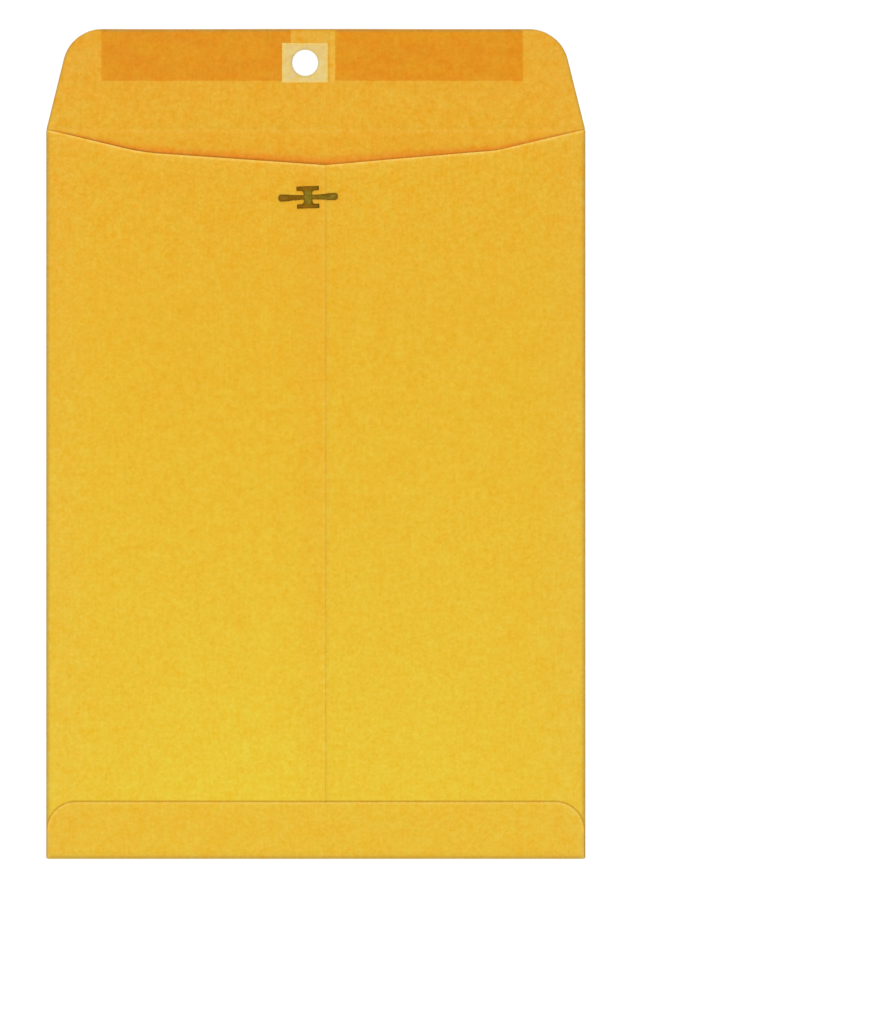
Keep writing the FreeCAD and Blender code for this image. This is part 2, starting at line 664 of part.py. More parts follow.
# Every object has to be sound before anything is written
NODES = {
    "folded_sheet": folded_sheet,
    "hole_patch": hole_patch,
    "gum_strip_left": gum_strip_left,
    "gum_strip_right": gum_strip_right,
    "clasp_base": clasp_base,
    "prong_left": prong_left,
    "prong_right": prong_right,
}
for item in doc.Objects:
    faults = [state for state in item.State if state in ("Invalid", "Error")]
    if faults:
        raise RuntimeError(f"{item.Name} is {faults}")
for label, node in NODES.items():
    node.Label = label
    if node.Shape.isNull() or not node.Shape.isValid() or len(node.Shape.Solids) != 1:
        raise RuntimeError(f"{label} isn't one sound solid")

os.makedirs("parts", exist_ok=True)
for label, node in NODES.items():
    node.Shape.exportStep(f"parts/{label}.step")
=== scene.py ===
import math

import bpy
import numpy as np
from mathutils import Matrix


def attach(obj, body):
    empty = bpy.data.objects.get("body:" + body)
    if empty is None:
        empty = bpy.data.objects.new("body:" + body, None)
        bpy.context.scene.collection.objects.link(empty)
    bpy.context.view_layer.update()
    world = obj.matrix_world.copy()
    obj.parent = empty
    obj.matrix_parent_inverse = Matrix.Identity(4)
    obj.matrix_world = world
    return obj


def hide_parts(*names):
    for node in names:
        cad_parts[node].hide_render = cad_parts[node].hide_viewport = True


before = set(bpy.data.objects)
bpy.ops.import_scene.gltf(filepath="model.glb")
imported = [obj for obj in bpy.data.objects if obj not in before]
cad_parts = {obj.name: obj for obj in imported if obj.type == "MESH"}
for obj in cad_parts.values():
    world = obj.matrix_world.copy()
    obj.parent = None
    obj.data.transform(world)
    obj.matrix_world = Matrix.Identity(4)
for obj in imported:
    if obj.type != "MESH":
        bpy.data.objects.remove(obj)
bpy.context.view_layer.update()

# Sizes in millimetres and the clasp's turn in degrees, the same as the solids'
PAPER = 0.18
HALF_PAPER = PAPER / 2
FOLD_RADIUS = 0.28
HALF_WIDTH = 107.95
FLAT_HALF = HALF_WIDTH - FOLD_RADIUS
BOTTOM_Y = -166.2
FOLD_Y = 125.9
TOP_Y = 166.2
BODY_LENGTH = FOLD_Y - BOTTOM_Y
ARCH_RISE = 2.4
ARCH_RADIUS = (FLAT_HALF**2 + ARCH_RISE**2) / (2 * ARCH_RISE)
NOSE_RADIUS = 0.37
FOOT_Y = BOTTOM_Y + NOSE_RADIUS
SEAM_X = 3.8
PANEL_EDGE = SEAM_X - 23.0
RAMP_FOOT = PANEL_EDGE - 3.0
THROAT_DROP = 14.5
THROAT_END = 0.3
LEFT_SHOULDER = (38.6, 9.3, 90.0)
RIGHT_SHOULDER = (35.4, 8.5, 24.0)
FLAP_SLOPE = math.tan(math.radians(14.0))
FLAP_CORNER = 15.8
BOTTOM_FLAP = 22.8
BOTTOM_CORNER = 11.5
BOTTOM_HALF = HALF_WIDTH - 0.5
HOLE = (-4.3, 152.7)
HOLE_RADIUS = 5.3
PATCH = (18.3, 15.8, 0.12)
GUM_FOOT = TOP_Y - 20.7
GUM_THICKNESS = 0.05
GUM_GAP = 0.002
PATCH_GAP = 0.004
GUM_LEFT = (-85.9, -10.0)
GUM_RIGHT = (7.8, 83.0)
CLASP = (-3.0, 98.5)
CLASP_TURN = 1.8
NECK_HALF = 1.7
BAR_TOP = 4.4
BAR_FOOT = 2.7
LEG_OUT = 4.45
PRONG_REACH = 11.8
PRONG_ROOT_HALF = 0.85
PRONG_TIP_HALF = 1.4
PADDLE_START = 8.5
WORN_EDGE = 0.05
MM = 0.001


# Curves and outlines

def smooth(t):
    """A soft step from 0 to 1."""
    t = np.clip(t, 0.0, 1.0)
    return t * t * (3 - 2 * t)


def shoulder(x, foot, corner, tip, radius):
    """Height of a polyline foot, corner, tip at x, its corner rounded."""
    (x0, y0), (x1, y1), (x2, y2) = foot, corner, tip
    first = (y1 - y0) / (x1 - x0)
    second = (y2 - y1) / (x2 - x1)
    a0, a1 = math.atan(first), math.atan(second)
    reach = radius * math.tan(abs(a1 - a0) / 2)
    begin = x1 - reach * math.cos(a0)
    end = x1 + reach * math.cos(a1)
    t = np.clip((x - begin) / (end - begin), 0.0, 1.0)
    slope_gain = (second - first) * (end - begin)
    inside = y1 + first * (begin - x1) + first * (end - begin) * t + slope_gain * t * t / 2
    return np.where(x < begin, y0 + first * (x - x0), np.where(x > end, y1 + second * (x - x1), inside))


def throat_y(x):
    """The back panels' upper edge."""
    inset, drop, radius = LEFT_SHOULDER
    tip = (SEAM_X, FOLD_Y - THROAT_DROP)
    left = shoulder(x, (-FLAT_HALF, FOLD_Y), (-HALF_WIDTH + inset, FOLD_Y - drop), tip, radius)
    inset, drop, radius = RIGHT_SHOULDER
    mirrored_tip = (-SEAM_X, FOLD_Y - THROAT_DROP)
    right = shoulder(-x, (-FLAT_HALF, FOLD_Y), (-HALF_WIDTH + inset, FOLD_Y - drop), mirrored_tip, radius)
    return np.where(x < SEAM_X, left, right)


def panel_edge_y(x):
    """The back panels' upper edge, ending just short of the flap fold at the sides."""
    return np.minimum(throat_y(x), FOLD_Y - THROAT_END)


def closing_half(y):
    """Half the closing flap's width at y."""
    side = HALF_WIDTH - (y - FOLD_Y) * FLAP_SLOPE
    angle = math.atan(FLAP_SLOPE)
    centre_y = TOP_Y - FLAP_CORNER
    centre_x = HALF_WIDTH - (centre_y - FOLD_Y) * FLAP_SLOPE - FLAP_CORNER / math.cos(angle)
    reach = np.sqrt(np.maximum(FLAP_CORNER**2 - (y - centre_y) ** 2, 0.0))
    line = np.minimum(FLAT_HALF + (y - FOLD_Y), side)
    return np.where(y > centre_y + FLAP_CORNER * math.sin(angle), centre_x + reach, line)


def bottom_half(y):
    """Half the bottom flap's width at y."""
    centre_y = BOTTOM_Y + BOTTOM_FLAP - BOTTOM_CORNER
    reach = np.sqrt(np.maximum(BOTTOM_CORNER**2 - np.maximum(y - centre_y, 0.0) ** 2, 0.0))
    return BOTTOM_HALF - BOTTOM_CORNER + reach


# The paper's small unevenness

LIFT = 0.3
SCORE_DEPTH = 0.05
CURL = 0.09
WAVES = np.random.default_rng(7)
WAVE_SET = [
    (WAVES.uniform(0, 2 * math.pi), WAVES.uniform(55, 150), WAVES.uniform(0, 2 * math.pi))
    for _ in range(9)
]


def waviness(x, y):
    """A smooth random height from 0 to 1."""
    total = np.zeros(np.broadcast(x, y).shape)
    for heading, length, phase in WAVE_SET:
        along = x * math.cos(heading) + y * math.sin(heading)
        total += np.sin(along * 2 * math.pi / length + phase)
    return 0.5 + 0.5 * np.tanh(total / 2.6)


def panel_lift(x, y):
    """How far the back panels stand above their even surface."""
    sides = smooth((FLAT_HALF - np.abs(x)) / 30)
    foot = smooth((y - BOTTOM_Y) / 45)
    away = np.hypot((x - CLASP[0]) / 1.3, y - CLASP[1])
    return LIFT * waviness(x, y) * sides * foot * smooth((away - 10) / 22)


def flap_lift(x, y):
    """How far the closing flap stands above the surface that it lies on."""
    rise = smooth((y - FOLD_Y - 2) / 30)
    return LIFT * waviness(x + 40, y - 25) * rise


def score(y):
    """The crease that the closing flap folds on."""
    away = y - FOLD_Y
    return SCORE_DEPTH * (np.exp(-((away / 1.7) ** 2)) - np.exp(-((away / 0.4) ** 2)))


def sleeve_top(x, y):
    """Upper face of the back panels where they are one sheet thick."""
    run = (y - BOTTOM_Y) / BODY_LENGTH
    arch = np.sqrt(ARCH_RADIUS**2 - np.minimum(np.abs(x), FLAT_HALF) ** 2) - (ARCH_RADIUS - ARCH_RISE)
    return 2 * FOLD_RADIUS + run * arch + panel_lift(x, y)


def front_top(x, y):
    """Upper face of the front panel and the closing flap."""
    return PAPER + score(y) + np.where(y > FOLD_Y, flap_lift(x, y), 0.0)


# Meshes from grids

# Kept at each point: lighter cut edge with a painted highlight, or painted shade at folds and edges;
# painted shadow line by the throat; painted shade with orange bounce light by the throat; turned side;
# lower face
MARKS = ("edge_tone", "line", "glow", "turned", "outer")


class Sheet:
    """A thin sheet built from grids on its middle surface, then given its thickness."""

    def __init__(self):
        self.points = []
        self.marks = []
        self.quads = []
        self.count = 0

    def grid(self, x, y, z, keep=None, **marks):
        """Adds a grid of points, arrays of the same shape, and the quads between them."""
        x, y, z = np.broadcast_arrays(x, y, z)
        rows, columns = x.shape
        self.points.append(np.stack([x, y, z], -1).reshape(-1, 3))
        layers = [np.broadcast_to(marks.get(name, 0.0), x.shape).reshape(-1) for name in MARKS]
        self.marks.append(np.stack(layers, -1))
        index = np.arange(rows * columns).reshape(rows, columns) + self.count
        quads = np.stack([index[:-1, :-1], index[:-1, 1:], index[1:, 1:], index[1:, :-1]], -1)
        quads = quads.reshape(-1, 4)
        if keep is not None:
            quads = quads[keep[:-1, :-1].reshape(-1)]
        self.quads.append(quads)
        self.count += rows * columns

    def weld(self, grain=1e-4):
        """Joins points at the same place and drops the unused ones."""
        points = np.concatenate(self.points)
        marks = np.concatenate(self.marks)
        quads = np.concatenate(self.quads)
        keys = np.round(points / grain).astype(np.int64)
        _, first, inverse = np.unique(keys, axis=0, return_index=True, return_inverse=True)
        quads = inverse.reshape(-1)[quads]
        used, quads = np.unique(quads, return_inverse=True)
        return points[first][used], marks[first][used], quads.reshape(-1, 4)

    def shell(self, upper_lift, lower_lift, along_normals=True):
        """Points, marks, faces and rim flags of the closed shell between two lifts of the surface."""
        points, marks, quads = self.weld()
        normals = np.zeros_like(points)
        if along_normals:
            a, b, c, d = (points[quads[:, i]] for i in range(4))
            face_normals = np.cross(c - a, d - b)
            for i in range(4):
                np.add.at(normals, quads[:, i], face_normals)
            normals /= np.linalg.norm(normals, axis=1)[:, None]
        else:
            normals[:, 2] = 1.0
        total = len(points)
        edges = np.concatenate([quads[:, [i, (i + 1) % 4]] for i in range(4)])
        codes = edges[:, 0] * total + edges[:, 1]
        partners = edges[:, 1] * total + edges[:, 0]
        rim = edges[~np.isin(codes, partners)]
        walls = np.stack([rim[:, 0], rim[:, 0] + total, rim[:, 1] + total, rim[:, 1]], -1)
        faces = np.concatenate([quads, quads[:, ::-1] + total, walls])
        is_rim = np.arange(len(faces)) >= 2 * len(quads)
        both = np.concatenate([points + normals * upper_lift, points + normals * lower_lift])
        outside = marks.copy()
        outside[:, MARKS.index("outer")] = 1.0
        return both, np.concatenate([marks, outside]), faces, is_rim


def make_piece(name, shell, materials, body, node, sharp=35):
    """A piece that stands for a node, its points in millimetres, its second material on the rim."""
    points, marks, faces, rim = shell
    mesh = bpy.data.meshes.new(name)
    mesh.vertices.add(len(points))
    mesh.vertices.foreach_set("co", (points * MM).astype(np.float32).ravel())
    mesh.loops.add(faces.size)
    mesh.loops.foreach_set("vertex_index", faces.astype(np.int32).ravel())
    mesh.polygons.add(len(faces))
    mesh.polygons.foreach_set("loop_start", np.arange(0, faces.size, 4, dtype=np.int32))
    if len(materials) > 1:
        mesh.polygons.foreach_set("material_index", rim.astype(np.int32))
    mesh.update(calc_edges=True)
    mesh.validate()
    for i, mark in enumerate(MARKS):
        layer = mesh.attributes.new(mark, "FLOAT", "POINT")
        layer.data.foreach_set("value", marks[:, i].astype(np.float32))
    for material in materials:
        mesh.materials.append(material)
    mesh.shade_smooth()
    mesh.set_sharp_from_angle(angle=math.radians(sharp))
    piece = bpy.data.objects.new(name, mesh)
    bpy.context.scene.collection.objects.link(piece)
    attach(piece, body)
    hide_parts(node)
    return piece


# Materials

class Nodes:
    """Builds one procedural material, with places and lengths in millimetres."""

    def __init__(self, name):
        self.material = bpy.data.materials.new(name)
        self.material.use_nodes = True
        self.tree = self.material.node_tree
        self.tree.nodes.clear()
        self.shader = self.tree.nodes.new("ShaderNodeBsdfPrincipled")
        output = self.tree.nodes.new("ShaderNodeOutputMaterial")
        self.tree.links.new(self.shader.outputs["BSDF"], output.inputs["Surface"])
        self.place = self.tree.nodes.new("ShaderNodeTexCoord").outputs["Object"]

    def link(self, value, socket):
        """Sets a socket from a number, a colour or another socket."""
        if isinstance(value, bpy.types.NodeSocket):
            self.tree.links.new(value, socket)
        else:
            socket.default_value = value

    def noise(self, size, detail=2.0, rough=0.5, stretch=(1, 1, 1), warp=0.0, shift=0.0):
        """Noise whose features measure size millimetres, longer along the stretched axes."""
        mapping = self.tree.nodes.new("ShaderNodeMapping")
        mapping.inputs["Scale"].default_value = [1 / (size * MM * s) for s in stretch]
        mapping.inputs["Location"].default_value = (shift, 2 * shift, 3 * shift)
        self.link(self.place, mapping.inputs["Vector"])
        node = self.tree.nodes.new("ShaderNodeTexNoise")
        node.inputs["Scale"].default_value = 1.0
        node.inputs["Detail"].default_value = detail
        node.inputs["Roughness"].default_value = rough
        node.inputs["Distortion"].default_value = warp
        self.link(mapping.outputs["Vector"], node.inputs["Vector"])
        return node.outputs["Fac"]

    def math(self, operation, first, second=0.5, third=None):
        """A math node."""
        node = self.tree.nodes.new("ShaderNodeMath")
        node.operation = operation
        self.link(first, node.inputs[0])
        self.link(second, node.inputs[1])
        if third is not None:
            self.link(third, node.inputs[2])
        return node.outputs[0]

    def times(self, first, *others):
        """The product of two or more numbers."""
        for other in others:
            first = self.math("MULTIPLY", first, other)
        return first

    def minus(self, first, second):
        """One number less another."""
        return self.math("SUBTRACT", first, second)

    def smallest(self, first, second):
        """The smaller of two numbers."""
        return self.math("MINIMUM", first, second)

    def largest(self, first, second):
        """The larger of two numbers."""
        return self.math("MAXIMUM", first, second)

    def length(self, first, second):
        """The length of a flat vector."""
        squares = self.math("ADD", self.times(first, first), self.times(second, second))
        return self.math("SQRT", squares)

    def absolute(self, value):
        """A number without its sign."""
        return self.math("ABSOLUTE", value)

    def remap(self, value, low, high, out_low=0.0, out_high=1.0, soft=True):
        """Takes low..high to out_low..out_high, clamped."""
        node = self.tree.nodes.new("ShaderNodeMapRange")
        node.interpolation_type = "SMOOTHSTEP" if soft else "LINEAR"
        node.clamp = True
        self.link(value, node.inputs["Value"])
        limits = {"From Min": low, "From Max": high, "To Min": out_low, "To Max": out_high}
        for key, number in limits.items():
            self.link(number, node.inputs[key])
        return node.outputs["Result"]

    def mix(self, share, first, second):
        """Mixes two colours."""
        node = self.tree.nodes.new("ShaderNodeMix")
        node.data_type = "RGBA"
        self.link(share, node.inputs[0])
        self.link(first, node.inputs[6])
        self.link(second, node.inputs[7])
        return node.outputs[2]

    def ramp(self, value, stops):
        """A colour from a list of (place, colour) stops."""
        node = self.tree.nodes.new("ShaderNodeValToRGB")
        elements = node.color_ramp.elements
        for element, (place, colour) in zip(elements, (stops[0], stops[-1])):
            element.position = place
            element.color = colour
        for place, colour in stops[1:-1]:
            elements.new(place).color = colour
        self.link(value, node.inputs["Fac"])
        return node.outputs["Color"]

    def tint(self, colour, *layers):
        """A colour times one plus each noise's swing, by its amounts in red, green and blue."""
        total = tuple(1 - 0.5 * sum(amounts[i] for _, amounts in layers) for i in range(3))
        for noise, amounts in layers:
            total = self.vector("MULTIPLY_ADD", noise, amounts, total)
        return self.vector("MULTIPLY", colour, total)

    def vector(self, operation, *values):
        """A vector math node."""
        node = self.tree.nodes.new("ShaderNodeVectorMath")
        node.operation = operation
        for value, socket in zip(values, node.inputs):
            self.link(value, socket)
        return node.outputs[0]

    def bump(self, height, distance, strength=1.0):
        """Bump in millimetres on the shader's normal."""
        node = self.tree.nodes.new("ShaderNodeBump")
        node.inputs["Distance"].default_value = distance * MM
        node.inputs["Strength"].default_value = strength
        self.link(height, node.inputs["Height"])
        self.link(node.outputs["Normal"], self.shader.inputs["Normal"])

    def axis(self, name):
        """One coordinate of the place."""
        node = self.tree.nodes.new("ShaderNodeSeparateXYZ")
        self.link(self.place, node.inputs[0])
        return self.math("DIVIDE", node.outputs[name], MM)

    def attribute(self, name):
        """A number stored on the mesh."""
        node = self.tree.nodes.new("ShaderNodeAttribute")
        node.attribute_name = name
        return node.outputs["Fac"]


def linear(*srgb):
    """A colour written in 8-bit sRGB, as the linear colour of a socket."""
    parts = [c / 255 for c in srgb]
    parts = [c / 12.92 if c <= 0.04045 else ((c + 0.055) / 1.055) ** 2.4 for c in parts]
    return (*parts, 1.0)


# Back of the paper from the bottom fold to the end of the closing flap
RUN_COLOURS = [
    (0.0, linear(235, 200, 48)),
    (0.3, linear(234, 190, 43)),
    (0.6, linear(234, 182, 38)),
    (0.85, linear(234, 175, 38)),
    (1.0, linear(233, 169, 43)),
]
TURNED_COLOUR = linear(234, 188, 46)
# GLOW_COLOUR is painted shade with orange bounce light inside the throat
GLOW_COLOUR = linear(238, 150, 32)
ADDRESS_COLOUR = linear(234, 183, 42)
SIDE_COLOUR = linear(225, 190, 110)
# Painted highlight on cut edges and the score, and painted shade at folds, edges and the throat
LIT_EDGE_COLOUR = linear(250, 202, 86)
DARK_EDGE_COLOUR = linear(180, 144, 60)
DARK_GLOW_COLOUR = linear(187, 121, 34)
CUT_COLOUR = linear(250, 206, 112)
PAPER_SPECULAR = 0.22
ADDRESS_TOP = 2 * PAPER
BACK_FOOT = 0.5
PALE_SIDE = 84.0


def add_grain(nodes, colour, strength=1.0):
    """Mottling, grain and streaks along the paper's run, each with its own swing of hue."""
    def amounts(*parts):
        return tuple(part * strength for part in parts)

    return nodes.tint(
        colour,
        (nodes.noise(0.9, detail=1, shift=7.7), amounts(0.10, 0.16, 0.9)),
        (nodes.noise(1.6, detail=1, shift=3.1), amounts(0.13, 0.20, 1.2)),
        (nodes.noise(3.2, detail=1, shift=5.2), amounts(-0.02, 0.19, 1.1)),
        (nodes.noise(7.5, detail=2, shift=8.4), amounts(-0.03, 0.15, 0.6)),
        (nodes.noise(0.9, detail=2, stretch=(1, 16, 1), shift=11.3), amounts(0.05, 0.08, 0.3)),
    )


def bottom_flap_lines(nodes, colour):
    """The lighter cut edge of the bottom flap with a painted highlight, and a painted shadow line beside
    it, on the back only.
    """
    past_side = nodes.minus(nodes.absolute(nodes.axis("X")), BOTTOM_HALF - BOTTOM_CORNER)
    past_end = nodes.minus(nodes.axis("Y"), BOTTOM_Y + BOTTOM_FLAP - BOTTOM_CORNER)
    corner = nodes.length(nodes.largest(past_side, 0.0), nodes.largest(past_end, 0.0))
    inner = nodes.smallest(nodes.largest(past_side, past_end), 0.0)
    away = nodes.minus(nodes.math("ADD", corner, inner), BOTTOM_CORNER)
    back = nodes.remap(nodes.axis("Z"), 0.35, 0.45)
    # Painted shadow on the panels just outside the flap's edge, and the flap's lighter cut edge with a
    # painted highlight
    flap_shadow = nodes.times(nodes.remap(away, 0.0, 0.08), nodes.remap(away, 0.35, 0.95, 1.0, 0.0))
    lip = nodes.times(nodes.remap(away, -1.5, -0.2), nodes.remap(away, 0.0, 0.08, 1.0, 0.0))
    colour = nodes.mix(nodes.times(flap_shadow, back, 0.62), colour, linear(190, 138, 20))
    return nodes.mix(nodes.times(lip, back, 0.33), colour, linear(250, 208, 100))


# Between the gum bands: low end, high end, strength and colour of each stripe
GAP_STRIPES = (
    (GUM_LEFT[1], GUM_RIGHT[0], 0.15, linear(228, 184, 82)),
    (GUM_RIGHT[0] - 1.5, GUM_RIGHT[0], 0.5, linear(242, 180, 52)),
    (GUM_RIGHT[0] - 2.8, GUM_RIGHT[0] - 2.4, 0.35, linear(212, 160, 44)),
)


def gum_gap_stripes(nodes, colour, upper):
    """Paler paper between the gum bands, with a light strip and a faint dark one, on its upper face."""
    def stripe(axis, low, high, soft):
        rise = nodes.remap(axis, low - soft, low)
        return nodes.times(rise, nodes.remap(axis, high, high + soft, 1.0, 0.0))

    across = nodes.axis("X")
    beside = nodes.times(stripe(nodes.axis("Y"), GUM_FOOT, TOP_Y - 1.5, 0.5), upper)
    for low, high, strength, stripe_colour in GAP_STRIPES:
        share = nodes.times(stripe(across, low, high, 0.4), beside, strength)
        colour = nodes.mix(share, colour, stripe_colour)
    return colour


def back_colour(nodes, run):
    """The paper's tone along its run, warmer towards the sides low down and paler beside the folds."""
    drift = nodes.math("MULTIPLY_ADD", nodes.noise(60, detail=1), 30.0, nodes.minus(run, 15.0))
    tall = nodes.remap(drift, -145.0, 165.0, soft=False)
    colour = nodes.mix(nodes.attribute("turned"), nodes.ramp(tall, RUN_COLOURS), TURNED_COLOUR)
    outward = nodes.absolute(nodes.axis("X"))
    warm = nodes.times(nodes.remap(run, 20.0, -120.0, 0.0, 0.3), nodes.remap(outward, 40.0, 100.0))
    colour = nodes.mix(warm, colour, linear(235, 184, 46))
    beside = nodes.remap(outward, PALE_SIDE, HALF_WIDTH, 0.0, 0.055)
    return nodes.mix(beside, colour, SIDE_COLOUR)


def add_fibres(nodes, colour):
    """Small dark flecks along the run and pale ones across it."""
    dark = nodes.noise(0.8, detail=2, rough=0.7, stretch=(1, 3.5, 1), warp=0.6, shift=1.9)
    colour = nodes.mix(nodes.remap(dark, 0.64, 0.76, 0.0, 0.2), colour, linear(196, 128, 30))
    pale = nodes.noise(0.7, detail=2, rough=0.7, stretch=(3.5, 1, 1), warp=0.6, shift=4.4)
    return nodes.mix(nodes.remap(pale, 0.65, 0.77, 0.0, 0.22), colour, linear(249, 208, 92))


def kraft(name, edge_only=False):
    """Golden brown paper, yellower towards the bottom fold, its cut edges lighter, with painted shade and
    highlights along its edges, folds and throat.
    """
    nodes = Nodes(name)
    run = nodes.axis("Y")
    low_down = nodes.remap(nodes.axis("Z"), ADDRESS_TOP, BACK_FOOT, 1.0, 0.0)
    under = nodes.times(nodes.attribute("outer"), low_down)
    upper = nodes.minus(1.0, under)
    colour = nodes.mix(under, back_colour(nodes, run), ADDRESS_COLOUR)
    colour = add_fibres(nodes, colour)
    # Painted shade with orange bounce light by the throat, painted highlights on cut edges and the score,
    # painted shade at folds, seams and edges
    glow = nodes.times(nodes.attribute("glow"), upper)
    colour = nodes.mix(glow, colour, GLOW_COLOUR)
    line = nodes.times(nodes.attribute("line"), upper)
    tone = nodes.minus(nodes.attribute("edge_tone"), line)
    colour = nodes.mix(nodes.remap(tone, 0.0, 1.0, soft=False), colour, LIT_EDGE_COLOUR)
    shade = nodes.mix(glow, DARK_EDGE_COLOUR, DARK_GLOW_COLOUR)
    colour = nodes.mix(nodes.remap(tone, 0.0, -1.0, soft=False), colour, shade)
    colour = bottom_flap_lines(nodes, colour)
    colour = gum_gap_stripes(nodes, colour, upper)
    if edge_only:
        colour = nodes.mix(0.55, colour, CUT_COLOUR)
    coarse = nodes.remap(run, 60.0, 100.0, 0.78, 1.0)
    colour = nodes.mix(coarse, colour, add_grain(nodes, colour, 1.25))
    nodes.link(colour, nodes.shader.inputs["Base Color"])
    rough = nodes.noise(2.0, detail=2, shift=9.0)
    nodes.link(nodes.remap(rough, 0.3, 0.7, 0.68, 0.82), nodes.shader.inputs["Roughness"])
    nodes.shader.inputs["Specular IOR Level"].default_value = PAPER_SPECULAR
    relief = nodes.noise(0.5, detail=4, rough=0.65, stretch=(1, 2.2, 1), shift=2.2)
    nodes.bump(relief, 0.03, 0.6)
    return nodes.material


def gum_material():
    """Dried gum over kraft paper: darker, redder and a little glossy."""
    nodes = Nodes("dried_gum")
    film = nodes.noise(7.0, detail=3, rough=0.6, stretch=(3, 1, 1), shift=6.0)
    colour = nodes.mix(nodes.remap(film, 0.3, 0.7), linear(225, 143, 20), linear(228, 151, 23))
    tone = nodes.attribute("edge_tone")
    colour = nodes.mix(nodes.remap(tone, 0.0, 1.0, 0.0, 0.3), colour, linear(232, 158, 28))
    # Painted shade along the flap's top edge, where the film ends
    end = nodes.remap(tone, 0.0, -1.0, 0.0, 0.7, soft=False)
    colour = nodes.mix(end, colour, linear(190, 144, 58))
    nodes.link(add_grain(nodes, colour, 1.25), nodes.shader.inputs["Base Color"])
    nodes.link(nodes.remap(film, 0.3, 0.7, 0.42, 0.55), nodes.shader.inputs["Roughness"])
    nodes.shader.inputs["Specular IOR Level"].default_value = 0.1
    relief = nodes.noise(0.9, detail=3, rough=0.6, stretch=(2, 1, 1), shift=2.7)
    nodes.bump(relief, 0.02, 0.5)
    return nodes.material


def patch_material():
    """Pale buff paper round the hole, warmer along its edges, its punched rim greyer."""
    nodes = Nodes("patch_paper")
    across = nodes.minus(nodes.axis("X"), HOLE[0])
    along = nodes.minus(nodes.axis("Y"), HOLE[1])
    past_rim = nodes.minus(nodes.length(across, along), HOLE_RADIUS)
    side = nodes.minus(PATCH[0] / 2, nodes.absolute(across))
    end = nodes.minus(PATCH[1] / 2, nodes.absolute(along))
    cloud = nodes.noise(3.0, detail=2, rough=0.6, shift=6.2)
    colour = nodes.mix(nodes.remap(cloud, 0.35, 0.65), linear(229, 196, 128), linear(233, 204, 119))
    brim = nodes.remap(nodes.smallest(side, end), 0.2, 1.6, 1.0, 0.0)
    brim = nodes.times(brim, nodes.remap(cloud, 0.3, 0.7, 0.9, 0.5))
    colour = nodes.mix(brim, colour, linear(239, 203, 105))
    rim = nodes.remap(past_rim, 0.1, 0.9, 0.6, 0.0)
    colour = nodes.mix(rim, colour, linear(198, 180, 108))
    nodes.link(add_grain(nodes, colour, 0.7), nodes.shader.inputs["Base Color"])
    nodes.shader.inputs["Roughness"].default_value = 0.7
    nodes.shader.inputs["Specular IOR Level"].default_value = PAPER_SPECULAR
    nodes.bump(nodes.noise(0.45, detail=4, rough=0.6, shift=8.8), 0.025, 0.6)
    return nodes.material


def clasp_places(nodes):
    """Places on the clasp: rightward along it, across it, and in from a prong's edge and any edge."""
    turn = math.radians(CLASP_TURN)
    x = nodes.minus(nodes.axis("X"), CLASP[0])
    y = nodes.minus(nodes.axis("Y"), CLASP[1])

    def turned(first, second):
        """A clasp coordinate."""
        return nodes.math("ADD", nodes.times(x, first), nodes.times(y, second))

    rightward = turned(math.cos(turn), math.sin(turn))
    along = nodes.absolute(rightward)
    across = nodes.absolute(turned(-math.sin(turn), math.cos(turn)))
    half = nodes.remap(along, NECK_HALF, PRONG_REACH, PRONG_ROOT_HALF, PRONG_TIP_HALF, soft=False)
    prong = nodes.smallest(nodes.minus(half, across), nodes.minus(PRONG_REACH, along))
    neck = nodes.smallest(nodes.minus(NECK_HALF, along), nodes.minus(BAR_TOP, across))
    bar = nodes.smallest(nodes.minus(BAR_TOP, across), nodes.minus(across, BAR_FOOT))
    bar = nodes.smallest(nodes.minus(LEG_OUT, along), bar)
    return rightward, across, prong, nodes.largest(prong, nodes.largest(neck, bar))


